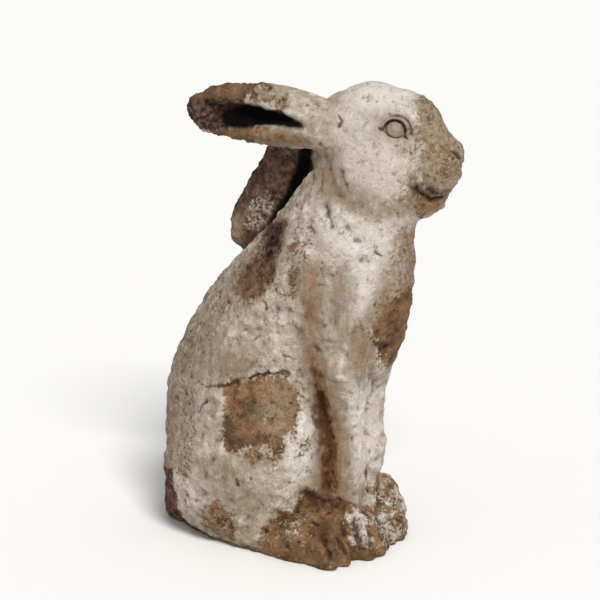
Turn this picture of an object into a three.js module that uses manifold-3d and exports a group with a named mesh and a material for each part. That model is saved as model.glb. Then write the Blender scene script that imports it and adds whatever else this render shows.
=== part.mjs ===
// A garden rabbit, cast in one solid piece of cement and sitting upright on its haunches.
// It faces +X with +Z up, and its left side is +Y. The origin lies on the flat underside.
import * as THREE from "three";
import { MarchingCubes } from "three/addons/objects/MarchingCubes.js";
import { mergeVertices } from "three/addons/utils/BufferGeometryUtils.js";
import Module from "manifold-3d";

// Driving sizes, in millimetres
const height = 500;

// Every other number of the figure is a share of its height: one unit is a hundredth of it.
const unit = height / 100;

// The cubes that the skin is found on, in units, and how many triangles are kept of it
const cube = 0.675;
const skinTriangles = 8000;

// Fields

// A field gives the distance from a point to a form's surface, less than zero inside it.
// This one moves a field to its place and turns it, in degrees.
function placed(at, { roll = 0, pitch = 0, yaw = 0 }, field) {
  const turn = new THREE.Euler(...[roll, pitch, yaw].map(THREE.MathUtils.degToRad), "ZYX");
  const m = new THREE.Matrix4().makeRotationFromEuler(turn).elements;
  return (x, y, z) => {
    const dx = x - at[0];
    const dy = y - at[1];
    const dz = z - at[2];
    return field(
      m[0] * dx + m[1] * dy + m[2] * dz,
      m[4] * dx + m[5] * dy + m[6] * dz,
      m[8] * dx + m[9] * dy + m[10] * dz,
    );
  };
}

// A rounded mass with its own radius along each axis
const mass = (at, [rx, ry, rz], turn = {}) =>
  placed(at, turn, (x, y, z) => {
    const near = Math.sqrt((x / rx) ** 2 + (y / ry) ** 2 + (z / rz) ** 2);
    const slope = Math.sqrt((x / rx ** 2) ** 2 + (y / ry ** 2) ** 2 + (z / rz ** 2) ** 2);
    return slope > 1e-9 ? (near * (near - 1)) / slope : -Math.min(rx, ry, rz);
  });

// A round bar from one point to another, with a radius at each end
function limb(from, to, startRadius, endRadius) {
  const [ax, ay, az] = to.map((value, i) => value - from[i]);
  const length2 = ax * ax + ay * ay + az * az;
  return (x, y, z) => {
    const dx = x - from[0];
    const dy = y - from[1];
    const dz = z - from[2];
    const t = Math.min(1, Math.max(0, (dx * ax + dy * ay + dz * az) / length2));
    const gap = Math.sqrt((dx - ax * t) ** 2 + (dy - ay * t) ** 2 + (dz - az * t) ** 2);
    return gap - (startRadius + (endRadius - startRadius) * t);
  };
}

// An upright stack of oval sections, each given as its level, its middle and its two radii
function column(sections) {
  const steps = 200;
  const low = sections[0][0];
  const high = sections.at(-1)[0];
  const levels = [1, 2, 3].map((k) => {
    const rows = sections.map((row) => new THREE.Vector2(row[0], row[k]));
    const points = new THREE.SplineCurve(rows).getPoints(steps * 4);
    return Array.from({ length: steps + 1 }, (_, i) => {
      const level = low + ((high - low) * i) / steps;
      const after = Math.max(1, points.findIndex((p) => p.x >= level - 1e-9));
      const [a, b] = [points[after - 1], points[after]];
      return THREE.MathUtils.mapLinear(level, a.x, b.x, a.y, b.y);
    });
  });
  return (x, y, z) => {
    const place = THREE.MathUtils.clamp((z - low) / (high - low), 0, 1) * steps;
    const i = Math.min(steps - 1, Math.floor(place));
    const [middle, rx, ry] = levels.map((row) => row[i] + (row[i + 1] - row[i]) * (place - i));
    const dx = x - middle;
    const near = Math.sqrt((dx / rx) ** 2 + (y / ry) ** 2);
    const slope = Math.sqrt((dx / rx ** 2) ** 2 + (y / ry ** 2) ** 2);
    const side = slope > 1e-9 ? (near * (near - 1)) / slope : -Math.min(rx, ry);
    return Math.max(side, low - z, z - high);
  };
}

const softMin = (a, b, blend) => {
  const reach = Math.max(0, blend - Math.abs(a - b)) / blend;
  return Math.min(a, b) - (reach * reach * blend) / 4;
};

// Joins fields with a soft valley between them
const joined = (blend, ...fields) => (x, y, z) => {
  let near = fields[0](x, y, z);
  for (let i = 1; i < fields.length; i++) near = softMin(near, fields[i](x, y, z), blend);
  return near;
};

// Takes tools out of a field with a soft edge
const carved = (blend, field, ...tools) => (x, y, z) => {
  let near = field(x, y, z);
  for (const tool of tools) near = -softMin(-near, tool(x, y, z), blend);
  return near;
};

const paired = (field) => (x, y, z) => field(x, Math.abs(y), z);

// Body

// The trunk leans forward from the rump to the neck.
const trunk = joined(
  5,
  column([
    [-4, -7, 19.6, 10.6],
    [3, -8, 20.8, 12.8],
    [12, -9, 21.4, 16],
    [24, -9, 21.4, 16.4],
    [34, -8.6, 20.8, 15.6],
    [43, -5, 20.9, 14.4],
    [49, -0.9, 21.7, 13.8],
    [55, 2.8, 21.2, 13.2],
    [62, 6.4, 18.8, 12.2],
    [69, 9.8, 15, 10.8],
    [76, 12, 12.2, 9.6],
    [83, 14.6, 9.6, 8.2],
    [91, 17, 6.4, 5.4],
  ]),
  mass([13, 0, 50], [10.6, 9.5, 13]),
);

const haunches = paired(
  joined(
    5,
    mass([-5.4, 11.6, 26], [14, 6.8, 12]),
    mass([-6.4, 10, 20], [15, 8.6, 17]),
    mass([-13, 9.4, 14], [14, 8.4, 14]),
  ),
);

const foreLegs = paired(
  joined(
    4,
    limb([8, 6.2, 60], [12, 5.2, 41], 6.6, 6),
    limb([12.2, 4.8, 40], [11.5, 4.6, 20], 5.6, 4.6),
    limb([11.5, 4.6, 20], [11.4, 4.8, 5], 4.6, 4.6),
  ),
);

// A foot is a low mass with a row of toes along its front. A toe's size and place are shares
// of the foot's, and the row curves back at its ends.
const toeShare = { long: 0.4, wide: 0.36, tall: 0.64 };
const rowShare = { forward: 0.8, curve: 0.14, spread: 0.74, drop: 0.2 };

function foot(at, yaw, [long, wide, tall], toes) {
  const toe = [long * toeShare.long, wide * toeShare.wide, tall * toeShare.tall];
  const row = Array.from({ length: toes }, (_, i) => {
    const across = (i / (toes - 1) - 0.5) * 2;
    const forward = long * (rowShare.forward - rowShare.curve * across * across);
    return mass([forward, across * wide * rowShare.spread, -tall * rowShare.drop], toe);
  });
  return placed(at, { yaw }, joined(1.2, mass([0, 0, 0], [long, wide, tall]), ...row));
}

const sole = limb([-7, 10.5, 3.6], [4, 12.4, 3.6], 4.8, 5);
const hindFoot = joined(5, sole, foot([9, 12.7, 3.2], 9, [8.4, 4.7, 6], 3));
const foreFoot = foot([16.2, 5, 2.8], 3, [5.4, 4.6, 5.2], 3);
const leftInstep = mass([12.6, 12.2, 6], [5.2, 4.4, 5.4]);
const feet = joined(2, paired(joined(1.6, hindFoot, foreFoot)), leftInstep);

const tail = mass([-27, -1, 4.2], [4.8, 5.4, 6.6]);

// Head

// The head is built about the middle of the skull and turned a little to the left.
const headAt = [17, 0.5, 88];
const headYaw = 12;

const headForm = carved(
  0.8,
  joined(
    2.6,
    mass([-0.5, 0, 1.9], [9.6, 7, 10.1]),
    mass([6.6, 0, 3.7], [6.6, 5.6, 6.3]),
    paired(mass([4.8, 4.4, 4.6], [4, 1.7, 3.2])),
    paired(mass([1.6, 2.8, -5], [9.2, 5, 8.8])),
    limb([2, 0, -10], [9.6, 0, -11.4], 5, 3.7),
    limb([8, 0, 3.2], [13.8, 0, -3], 5, 4.1),
    mass([15.9, 0, -2.2], [2.3, 2.2, 2.3]),
    paired(mass([13.4, 1.9, -6.7], [4.1, 3, 3.7])),
    mass([11.4, 0, -11.2], [3.1, 2.9, 2.7]),
  ),
  // the mouth, the split lip and the nostrils
  paired(limb([10, 4.6, -8.2], [15.4, 2.6, -9.9], 0.9, 0.6)),
  limb([17.6, 0, -4.6], [17, 0, -9], 0.6, 0.8),
  paired(limb([16.4, 2.9, -0.6], [18.2, 1.6, -3.2], 0.6, 0.5)),
);

const head = placed(headAt, { yaw: headYaw }, headForm);

// An ear is a thick leaf on a round root, with a long hollow in its outer face.
function ear(side, at, turn, tip) {
  const leaf = joined(3, mass([0, 0, 0], [17, 4, 6.3]), mass(...tip));
  const root = limb([4, 0, -0.6], [14, -side * 1.2, -2.2], 4.6, 4.4);
  const hollow = joined(
    1,
    limb([-13.5, side * 3.4, 0.2], [-4, side * 4.2, 0], 2.3, 3.6),
    limb([-4, side * 4.2, 0], [9.6, side * 5, -1], 3.6, 0.8),
  );
  return placed(at, turn, carved(1.6, joined(3, leaf, root), hollow));
}

const ears = joined(
  3,
  ear(-1, [-5.5, -6.3, 92.7], { yaw: 5 }, [[-10, 0, 0], [4, 2.6, 3]]),
  ear(1, [-7.4, 5, 74.8], { pitch: -56, yaw: -3 }, [[-10.5, 0, 0], [5.4, 3.4, 4.8]]),
  limb([-3.4, 5.4, 82.6], [9, 4, 92], 5.2, 5),
);

const body = joined(4, joined(5, trunk, head), foreLegs);
const figure = joined(2.4, body, haunches, feet, tail, ears);

// The form runs on below the floor, where it is cut off flat.
const spare = 1.2;
const rabbit = (x, y, z) => Math.max(figure(x, y, z), -spare - z);

// Skin

// The skin lies where the field is zero. It is found on a grid of cubes around the figure, with
// room above and below it, and a block of cubes far from it takes the value at its middle.
const [roomAbove, roomBelow] = [2, 6];
const reach = (100 + roomAbove + roomBelow) / 2;
const middle = [0, 0, (100 + roomAbove - roomBelow) / 2];
const blockWidth = 3.4;
const block = Math.round(blockWidth / cube);
const gridCells = block * Math.round((2 * reach) / (block * cube));

function skin(field) {
  const cubes = new MarchingCubes(gridCells, new THREE.Material(), false, false, 200000);
  const cell = (2 * reach) / gridCells;
  const place = (i, axis) => middle[axis] + (i - gridCells / 2) * cell;
  cubes.isolation = 0;
  for (let k = 0; k < gridCells; k += block) {
    for (let j = 0; j < gridCells; j += block) {
      for (let i = 0; i < gridCells; i += block) {
        const [x, y, z] = [i, j, k].map((first, axis) => place(first + block / 2, axis));
        const far = field(x, y, z);
        const clear = Math.abs(far) > block * cell * 2;
        for (let c = k; c < k + block; c++) {
          for (let b = j; b < j + block; b++) {
            for (let a = i; a < i + block; a++) {
              const value = clear ? far : field(place(a, 0), place(b, 1), place(c, 2));
              cubes.field[(c * gridCells + b) * gridCells + a] = -value;
            }
          }
        }
      }
    }
  }
  cubes.update();
  const geometry = new THREE.BufferGeometry();
  const found = cubes.positionArray.slice(0, cubes.count * 3);
  geometry.setAttribute("position", new THREE.BufferAttribute(found, 3));
  geometry.scale(reach * unit, reach * unit, reach * unit);
  geometry.translate(...middle.map((value) => value * unit));
  return mergeVertices(geometry, 1e-3);
}

// Takes triangles out of the skin where it is flattest, until the wanted number is left. Each
// point sums the planes that meet in it, and an edge costs what its two sums give at the point
// that replaces it. Each pass shortens the cheapest edges that don't touch each other.
function thinned(geometry, wanted) {
  const at = Float64Array.from(geometry.getAttribute("position").array);
  const corners = Int32Array.from(geometry.index.array);
  const facesAt = Array.from({ length: at.length / 3 }, () => []);
  const sums = new Float64Array((at.length / 3) * 10);
  let left = corners.length / 3;

  const normal = (p, q, r) => {
    const [ax, ay, az] = [q[0] - p[0], q[1] - p[1], q[2] - p[2]];
    const [bx, by, bz] = [r[0] - p[0], r[1] - p[1], r[2] - p[2]];
    return [ay * bz - az * by, az * bx - ax * bz, ax * by - ay * bx];
  };
  const point = (v) => at.subarray(3 * v, 3 * v + 3);
  const cornersOf = (f) => corners.subarray(3 * f, 3 * f + 3);

  // A sum also draws its point a little to where it was, which keeps flat parts even.
  const hold = 2e-3;
  const leastTurn = 0.3;
  const share = 1 / 4;
  for (let f = 0; f < left; f++) {
    const [a, b, c] = cornersOf(f);
    const n = normal(point(a), point(b), point(c));
    const area = Math.hypot(...n) || 1e-12;
    const [nx, ny, nz] = n.map((value) => value / area);
    const d = -(nx * at[3 * a] + ny * at[3 * a + 1] + nz * at[3 * a + 2]);
    const plane = [nx * nx, nx * ny, nx * nz, nx * d, ny * ny, ny * nz, ny * d, nz * nz, nz * d, d * d];
    for (const v of [a, b, c]) {
      facesAt[v].push(f);
      const [x, y, z] = point(v);
      const still = [1, 0, 0, -x, 1, 0, -y, 1, -z, x * x + y * y + z * z];
      for (let i = 0; i < 10; i++) sums[10 * v + i] += area * (plane[i] + hold * still[i]);
    }
  }

  function merger(a, b) {
    const q = Array.from({ length: 10 }, (_, i) => sums[10 * a + i] + sums[10 * b + i]);
    const [xx, xy, xz, xd, yy, yz, yd, zz, zd, dd] = q;
    const cx = yy * zz - yz * yz;
    const cy = xz * yz - xy * zz;
    const cz = xy * yz - xz * yy;
    const det = xx * cx + xy * cy + xz * cz;
    const x = -(cx * xd + cy * yd + cz * zd) / det;
    const y = -(cy * xd + (xx * zz - xz * xz) * yd + (xz * xy - xx * yz) * zd) / det;
    const z = -(cz * xd + (xz * xy - xx * yz) * yd + (xx * yy - xy * xy) * zd) / det;
    return { a, b, to: [x, y, z], cost: xd * x + yd * y + zd * z + dd };
  }

  const live = (v) => facesAt[v].filter((f) => corners[3 * f] >= 0);
  const ring = (faces, v) => new Set(faces.flatMap((f) => [...cornersOf(f)]).filter((w) => w !== v));

  // An edge may go if the skin stays one closed sheet and no triangle beside it turns over.
  function shortened({ a, b, to }) {
    const [facesA, facesB] = [live(a), live(b)];
    const ringB = ring(facesB, b);
    if ([...ring(facesA, a)].filter((w) => ringB.has(w)).length !== 2) return false;
    const kept = [...facesA, ...facesB].filter((f) => {
      const c = cornersOf(f);
      return !(c.includes(a) && c.includes(b));
    });
    for (const f of kept) {
      const before = Array.from(cornersOf(f), point);
      const after = Array.from(cornersOf(f), (v) => (v === a || v === b ? to : point(v)));
      const [m, n] = [normal(...before), normal(...after)];
      const same = m[0] * n[0] + m[1] * n[1] + m[2] * n[2];
      const [was, now] = [Math.hypot(...m), Math.hypot(...n)];
      if (same < leastTurn * was * now || now < 1e-6) return false;
    }
    for (const f of facesB) {
      const c = cornersOf(f);
      if (c.includes(a)) c.fill(-1);
      else c[c.indexOf(b)] = a;
    }
    facesAt[a] = kept;
    at.set(to, 3 * a);
    for (let i = 0; i < 10; i++) sums[10 * a + i] += sums[10 * b + i];
    left -= 2;
    return true;
  }

  while (left > wanted) {
    const edges = [];
    for (let f = 0; f < corners.length / 3; f++) {
      const c = cornersOf(f);
      for (let i = 0; i < 3; i++) {
        const [a, b] = [c[i], c[(i + 1) % 3]];
        if (a >= 0 && a < b) edges.push(merger(a, b));
      }
    }
    edges.sort((p, q) => p.cost - q.cost);
    const touched = new Set();
    for (const edge of edges.slice(0, Math.ceil(edges.length * share))) {
      if (left <= wanted) break;
      if (touched.has(edge.a) || touched.has(edge.b)) continue;
      if (shortened(edge)) touched.add(edge.a).add(edge.b);
    }
  }

  const result = new THREE.BufferGeometry();
  result.setAttribute("position", new THREE.BufferAttribute(Float32Array.from(at), 3));
  result.setIndex(Array.from(corners.filter((v) => v >= 0)));
  return result;
}

// Solids

const wasm = await Module();
wasm.setup();

function solidOf(geometry) {
  const bare = geometry.clone().deleteAttribute("normal").deleteAttribute("uv");
  const merged = mergeVertices(bare, 1e-5);
  const mesh = new wasm.Mesh({
    numProp: 3,
    vertProperties: merged.getAttribute("position").array,
    triVerts: new Uint32Array(merged.index.array),
  });
  return new wasm.Manifold(mesh);
}

function geometryOf(solid) {
  const { vertProperties, triVerts } = solid.getMesh();
  const geometry = new THREE.BufferGeometry();
  geometry.setAttribute("position", new THREE.BufferAttribute(vertProperties, 3));
  geometry.setIndex(new THREE.BufferAttribute(triVerts, 1));
  return geometry;
}

// An eye is a ball in a ring of lids, on a low bed that fills the ring. It sits where a line out
// of the head meets the surface, and is turned to lie along the surface there.
const eyeAt = { x: 4.9, z: 4.5 };
const ballRadii = [1.95, 1.3, 1.55];
const bedRadii = [2.9, 0.75, 2.25];
const lidRing = { radius: 2.3, thick: 0.46, long: 1.12, tall: 0.86 };

function eye(side) {
  const { x, z } = eyeAt;
  const step = 0.5;
  const out = (dx, dz) => {
    let y = 0;
    while (headForm(x + dx, y, z + dz) < 0) y += 0.02;
    return y;
  };
  const forward = Math.atan((out(step, 0) - out(-step, 0)) / (2 * step));
  const upward = Math.atan((out(0, step) - out(0, -step)) / (2 * step));
  const ball = new THREE.SphereGeometry(1, 24, 14).scale(...ballRadii);
  const bed = new THREE.SphereGeometry(1, 24, 14).scale(...bedRadii);
  const lids = new THREE.TorusGeometry(lidRing.radius, lidRing.thick, 8, 32);
  lids.rotateX(Math.PI / 2).scale(lidRing.long, 1, lidRing.tall);
  return [ball.translate(0, -0.2 * side, 0), bed.translate(0, -0.3 * side, 0), lids].map((part) => {
    part.rotateX(side * upward).rotateZ(side * forward).translate(x, side * out(0, 0), z);
    part.rotateZ(THREE.MathUtils.degToRad(headYaw)).translate(...headAt);
    return solidOf(part.scale(unit, unit, unit));
  });
}

const floor = new THREE.BoxGeometry(2 * height, 2 * height, height).translate(0, 0, -height / 2);
let cast = solidOf(thinned(skin(rabbit), skinTriangles)).subtract(solidOf(floor));
for (const part of [...eye(1), ...eye(-1)]) cast = cast.add(part);

const cement = new THREE.MeshStandardMaterial({ color: 0xcabfae, roughness: 0.9, metalness: 0 });
const statue = new THREE.Mesh(geometryOf(cast), cement);
statue.name = "rabbit";

const group = new THREE.Group();
group.add(statue);

export default group;
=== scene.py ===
# %% [markdown]
# A garden rabbit of cast cement
#
# The real object is one heavy casting. Cement was pressed or poured into a mould, cured, and
# painted off-white. Years of rain and frost have lifted the paint in flakes, so brown cement
# shows on the thigh, the chest, the muzzle, the feet and the ears. The frame below holds the
# solid at its real size. This script gives that solid its skin: fine forms, cracks, pits, the
# edge of the paint film, and the colours.

# %% Load the frame
import math

import bmesh
import bpy
import numpy as np
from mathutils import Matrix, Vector, noise
from mathutils.bvhtree import BVHTree


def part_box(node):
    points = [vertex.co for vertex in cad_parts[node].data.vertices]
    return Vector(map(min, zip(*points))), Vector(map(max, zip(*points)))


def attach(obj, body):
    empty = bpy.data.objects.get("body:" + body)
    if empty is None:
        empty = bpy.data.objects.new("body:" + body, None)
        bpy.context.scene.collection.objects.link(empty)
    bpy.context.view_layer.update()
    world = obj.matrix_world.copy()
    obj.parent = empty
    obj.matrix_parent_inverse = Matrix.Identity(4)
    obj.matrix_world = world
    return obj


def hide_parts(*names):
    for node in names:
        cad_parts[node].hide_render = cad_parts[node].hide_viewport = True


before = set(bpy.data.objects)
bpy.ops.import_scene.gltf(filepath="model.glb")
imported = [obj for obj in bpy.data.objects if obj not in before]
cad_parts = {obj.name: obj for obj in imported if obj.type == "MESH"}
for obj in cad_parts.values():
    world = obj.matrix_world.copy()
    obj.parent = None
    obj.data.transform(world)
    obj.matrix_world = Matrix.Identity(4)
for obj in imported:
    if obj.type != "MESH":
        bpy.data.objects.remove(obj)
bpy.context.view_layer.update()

low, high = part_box("rabbit")
height = high[2] - low[2]
mm = 0.001
print("the solid is", [round((b - a) / mm) for a, b in zip(low, high)], "mm")

# %% [markdown]
# The camera
#
# The camera comes first, because the marks and the patches of bare cement are placed by where
# the photograph shows them. It stands 3 m away, on the rabbit's right side and a little in
# front of it, and looks down a little. A long lens and a small shift upwards give the
# photograph's frame.

# %% Place the camera
photo_width = 600
azimuth, elevation = math.radians(26), math.radians(16)
distance = 3.0
focal_px = 2848
centre_px = (300, 309)
aim = Vector((0, 0, 0.25))
back = Vector((
    math.sin(azimuth) * math.cos(elevation),
    -math.cos(azimuth) * math.cos(elevation),
    math.sin(elevation),
))

camera = bpy.data.objects.new("camera", bpy.data.cameras.new("camera"))
camera.data.sensor_width = 36
camera.data.lens = 36 * focal_px / photo_width
camera.data.shift_y = (centre_px[1] - photo_width / 2) / photo_width
camera.location = aim + back * distance
camera.rotation_mode = "QUATERNION"
camera.rotation_quaternion = (-back).to_track_quat("-Z", "Y")
bpy.context.scene.collection.objects.link(camera)
bpy.context.scene.camera = camera
print("lens", round(camera.data.lens, 1), "mm")

# %% [markdown]
# The skin
#
# The solid has flat triangles several millimetres wide. A voxel remesh turns a copy of it into
# an even net of small squares, each about two and a half picture points of the photograph wide,
# and smoothing takes the flat facets out. The net can then be moved like clay. It stays under
# 200,000 triangles in all, with the finer squares round the eyes and along the cracks.

# %% Copy the solid and remesh it
voxel = 2.52 * mm
smoothing_rounds = 7

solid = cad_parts["rabbit"]
net = bmesh.new()
net.from_mesh(solid.data)
net.transform(solid.matrix_world)
bmesh.ops.remove_doubles(net, verts=net.verts, dist=0.01 * mm)
copy = bpy.data.meshes.new("rabbit_copy")
net.to_mesh(copy)
net.free()

statue = bpy.data.objects.new("weathered_rabbit", copy)
bpy.context.scene.collection.objects.link(statue)
remesh = statue.modifiers.new("even net", "REMESH")
remesh.mode = "VOXEL"
remesh.voxel_size = voxel
remesh.adaptivity = 0
smooth = statue.modifiers.new("no facets", "SMOOTH")
smooth.factor = 0.5
smooth.iterations = smoothing_rounds
evaluated = statue.evaluated_get(bpy.context.evaluated_depsgraph_get())
statue.data = bpy.data.meshes.new_from_object(evaluated)
statue.data.name = "weathered_rabbit"
statue.modifiers.clear()
bpy.data.meshes.remove(copy)
print("net of", len(statue.data.polygons), "squares")

# %% [markdown]
# Reading places off the photograph
#
# A ray from the camera through a picture point meets the statue where the photograph shows
# that point. So each mark below is a short list of picture points, and it lies on the surface
# whatever the view. On the far side of the head and the feet, a mark is mirrored.

# %% Find the surface behind a picture point
surface = BVHTree.FromObject(statue, bpy.context.evaluated_depsgraph_get())
right = back.cross(Vector((0, 0, 1))).normalized() * -1
up = back.cross(right)


def spot(px, py):
    """The place on the statue that the photograph shows at a picture point, and its normal."""
    ray = right * ((px - centre_px[0]) / focal_px) - up * ((py - centre_px[1]) / focal_px) - back
    place, normal, _, _ = surface.ray_cast(camera.location, ray.normalized())
    if place is None:
        raise ValueError(f"no surface at picture point {px}, {py}")
    return place, normal


head_middle = Vector((0.17, 0.005, 0.88)) * height
head_turn = math.radians(12)
head_side = Vector((-math.sin(head_turn), math.cos(head_turn), 0))
body_side = Vector((0, 1, 0))


def mirrored(vector, side, middle=None):
    """A place mirrored in the middle plane of the head or the body, or a direction mirrored."""
    offset = vector - middle if middle is not None else vector
    return vector - side * (2 * offset.dot(side))


def trace(path, step=4):
    """The places along a path of picture points, a few points apart, with the normal at each."""
    found = []
    for (ax, ay), (bx, by) in zip(path, path[1:]):
        count = max(1, round(math.hypot(bx - ax, by - ay) / step))
        found += [spot(ax + (bx - ax) * i / count, ay + (by - ay) * i / count) for i in range(count)]
    return found + [spot(*path[-1])]


eye_px = (393, 130)
print("the near eye is at", [round(value / mm) for value in spot(*eye_px)[0]], "mm")

# %% [markdown]
# The marks
#
# These are the folds, gouges, cracks and gaps that a hand would find on the real cement. Each
# has a path of picture points, a width and a depth in millimetres. A fold is a wide valley
# between two forms, a gouge was left by a tool, and a crack is narrow and needs a finer net.

# %% List the folds and the gouges
folds = [
    ([(308, 368), (314, 390), (321, 414), (325, 440), (327, 466), (325, 492)], 12.0, 8.5),
    ([(318, 258), (321, 290), (320, 325), (313, 362)], 12.0, 3.4),
    ([(340, 202), (362, 208), (385, 207), (404, 204)], 9.0, 2.6),
    ([(323, 148), (327, 168), (332, 186), (344, 203)], 9.0, 4.0),
    ([(370, 345), (382, 351), (392, 346)], 7.0, 4.0),
    ([(372, 352), (373, 390), (370, 440)], 8.0, 2.6),
    ([(272, 232), (284, 258), (298, 284)], 10.0, 2.6),
    ([(300, 494), (318, 500), (338, 506)], 8.0, 3.6),
    ([(264, 530), (282, 512), (302, 496)], 9.0, 2.4),
    ([(196, 383), (220, 387), (243, 381)], 8.0, 2.4),
    ([(212, 114), (235, 112), (258, 113), (280, 118), (297, 124)], 9.0, 8.0),
]
gouges = [
    ([(327, 156), (328, 172), (333, 188)], 5.4, 3.8),
    ([(339, 166), (343, 181), (349, 197)], 5.4, 3.8),
    ([(336, 192), (344, 198), (353, 199)], 5.0, 2.8),
    ([(313, 160), (312, 182), (306, 200)], 5.2, 2.8),
    ([(321, 166), (322, 180), (320, 194)], 4.8, 2.8),
    ([(304, 194), (300, 214)], 5.0, 2.4),
    ([(324, 150), (331, 147)], 2.2, 1.4),
    ([(326, 204), (328, 217), (334, 230)], 5.2, 3.6),
    ([(344, 224), (351, 235), (360, 244)], 5.2, 2.6),
    ([(306, 216), (311, 228), (318, 240)], 4.2, 2.6),
    ([(290, 236), (300, 250), (304, 266)], 3.0, 1.4),
    ([(300, 286), (304, 310), (306, 334)], 4.0, 1.2),
    ([(336, 462), (341, 470)], 3.0, 1.6),
    ([(345, 396), (347, 420)], 4.0, 0.9),
    ([(361, 505), (368, 516)], 3.0, 1.8),
    ([(268, 540), (290, 534)], 3.0, 1.4),
    ([(186, 340), (200, 312), (218, 288)], 4.0, 1.0),
    ([(180, 430), (190, 456)], 4.0, 1.0),
]
print(len(folds), "folds and", len(gouges), "gouges")

# %% List the cracks
cracks = [
    ([(243, 379), (257, 375), (272, 373.5), (285, 373), (291, 376)], 2.4, 4.2),
    ([(243, 378), (222, 386), (205, 386), (194, 381)], 2.2, 2.2),
    ([(291, 376), (300, 384), (306, 396)], 1.5, 1.6),
    ([(371, 448), (366, 468), (366, 482), (368, 495)], 2.0, 2.8),
    ([(338, 115), (342, 121), (337, 128)], 2.2, 3.0),
    ([(375, 100), (377, 103)], 1.6, 1.6),
    ([(401, 90.5), (408, 92)], 1.5, 1.5),
    ([(398, 95), (404, 96.5)], 1.5, 1.2),
    ([(394, 104.5), (401, 105)], 1.6, 1.5),
    ([(361, 126), (369, 120)], 2.2, 1.2),
    ([(374, 251), (378, 254), (382, 257)], 2.4, 2.6),
    ([(330, 267), (336, 268), (342, 266)], 1.4, 1.4),
    ([(336, 262), (336, 268), (337, 276)], 1.4, 1.4),
    ([(373, 305), (375, 307)], 2.4, 1.6),
    ([(275, 289), (278, 293)], 2.4, 2.8),
    ([(264, 300), (267, 305), (266, 311)], 2.6, 3.4),
    ([(252, 341), (262, 335)], 2.2, 1.8),
    ([(281, 354.5), (288, 356.5), (296, 360.5)], 2.0, 2.8),
    ([(268, 330), (262, 318)], 1.5, 1.2),
    ([(292, 316), (296, 330)], 1.5, 1.2),
    ([(295, 390), (303, 398), (308, 404)], 1.6, 1.6),
    ([(206, 400), (198, 412)], 2.6, 2.0),
    ([(236, 478), (238, 488)], 2.2, 2.4),
    ([(250, 476), (251, 481)], 1.8, 1.6),
    ([(336, 458), (340, 463)], 2.2, 1.6),
    ([(272, 466), (274, 474)], 1.8, 1.4),
    ([(311, 521), (318, 525)], 2.6, 2.4),
    ([(296, 543), (302, 540)], 2.2, 1.8),
    ([(322, 501), (330, 503), (338, 509)], 2.2, 2.4),
    ([(324, 515), (334, 512)], 2.0, 2.0),
    ([(385, 130), (380.5, 129.5), (377, 128)], 2.4, 1.8),
    ([(404, 136), (407.5, 139)], 2.4, 2.0),
]
print(len(cracks), "cracks")

# %% List the gaps between the toes, the mouth and the nostril
toe_gaps = [
    ([(321, 530), (326, 547), (332, 562)], 4.8, 6.5),
    ([(339, 533), (344, 547), (349, 559)], 4.8, 6.5),
    ([(354, 516), (357, 534), (360, 551)], 4.8, 6.5),
    ([(367, 524), (370, 537), (373, 549)], 4.4, 5.2),
    ([(378, 520), (382, 534), (385, 546)], 4.4, 5.2),
]
far_toe_gaps = [
    ([(390, 514), (394.5, 524), (399, 533)], 4.0, 4.6),
    ([(398, 508), (403.5, 519), (406.5, 528.5)], 3.8, 4.2),
]
mouth = [([(415.5, 187), (419, 192), (425, 197), (433, 200), (440, 199), (446, 195)], 2.7, 5.5)]
nostril = [([(451, 151), (457, 154), (461, 160)], 1.9, 3.0)]
print(len(toe_gaps) + len(far_toe_gaps), "gaps between toes")

# %% Follow each mark over the surface
# Every mark becomes (places, normals, width, depth). The head's and the feet's have a twin.
marks = []
for listed, side, centre in [
    (folds + gouges + cracks + far_toe_gaps, None, None),
    (toe_gaps, body_side, Vector((0, 0, 0))),
    (mouth + nostril, head_side, head_middle),
]:
    for path, width, depth in listed:
        traced = trace(path)
        marks.append(([p for p, _ in traced], [n for _, n in traced], width, depth))
        if side:
            places = [mirrored(p, side, centre) for p, _ in traced]
            marks.append((places, [mirrored(n, side) for _, n in traced], width, depth))
print(len(marks), "marks in all")

# %% [markdown]
# The eyes' places
#
# An eye lies between two corners, and its long axis drops a little to the front. The head's
# normals around it say which way it faces. The far eye is the near one's mirror image. The net
# is made finer around the eyes, the cracks, the nostrils and the mouth.

# %% Place the eyes
back_corner_px, front_corner_px = (383.5, 129.5), (404.5, 135.5)
around_px = [(dx, dy) for dx in (-26, 0, 26) for dy in (-22, 22)]

back_corner, front_corner = spot(*back_corner_px)[0], spot(*front_corner_px)[0]
eye_centre = (back_corner + front_corner) / 2
eye_out = sum((spot(eye_px[0] + dx, eye_px[1] + dy)[1] for dx, dy in around_px), Vector())
eye_out.normalize()
eye_front = front_corner - back_corner
eye_front = (eye_front - eye_out * eye_front.dot(eye_out)).normalized()
eye_up = eye_out.cross(eye_front)
opening = (front_corner - back_corner).length / 2 / mm
near_eye = (eye_centre, eye_front, eye_up, eye_out)
far_centre = mirrored(eye_centre, head_side, head_middle)
far_eye = (far_centre, *(mirrored(direction, head_side) for direction in near_eye[1:]))
eyes = [near_eye, far_eye]
print("an eye is open", round(2 * opening), "mm long")

# %% Make the net finer where the fine marks are
crack_width = 2.8


def refine(mesh, places, reach_mm):
    """Cuts the edges of the squares near the places in two."""
    near = BVHTree.FromPolygons(places, [(i, i, i) for i in range(len(places))])
    net = bmesh.new()
    net.from_mesh(mesh)
    edges = set()
    for face in net.faces:
        if near.find_nearest(face.calc_center_median(), reach_mm * mm)[0]:
            edges.update(face.edges)
    bmesh.ops.subdivide_edges(net, edges=list(edges), cuts=1, use_grid_fill=True)
    net.to_mesh(mesh)
    net.free()


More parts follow.
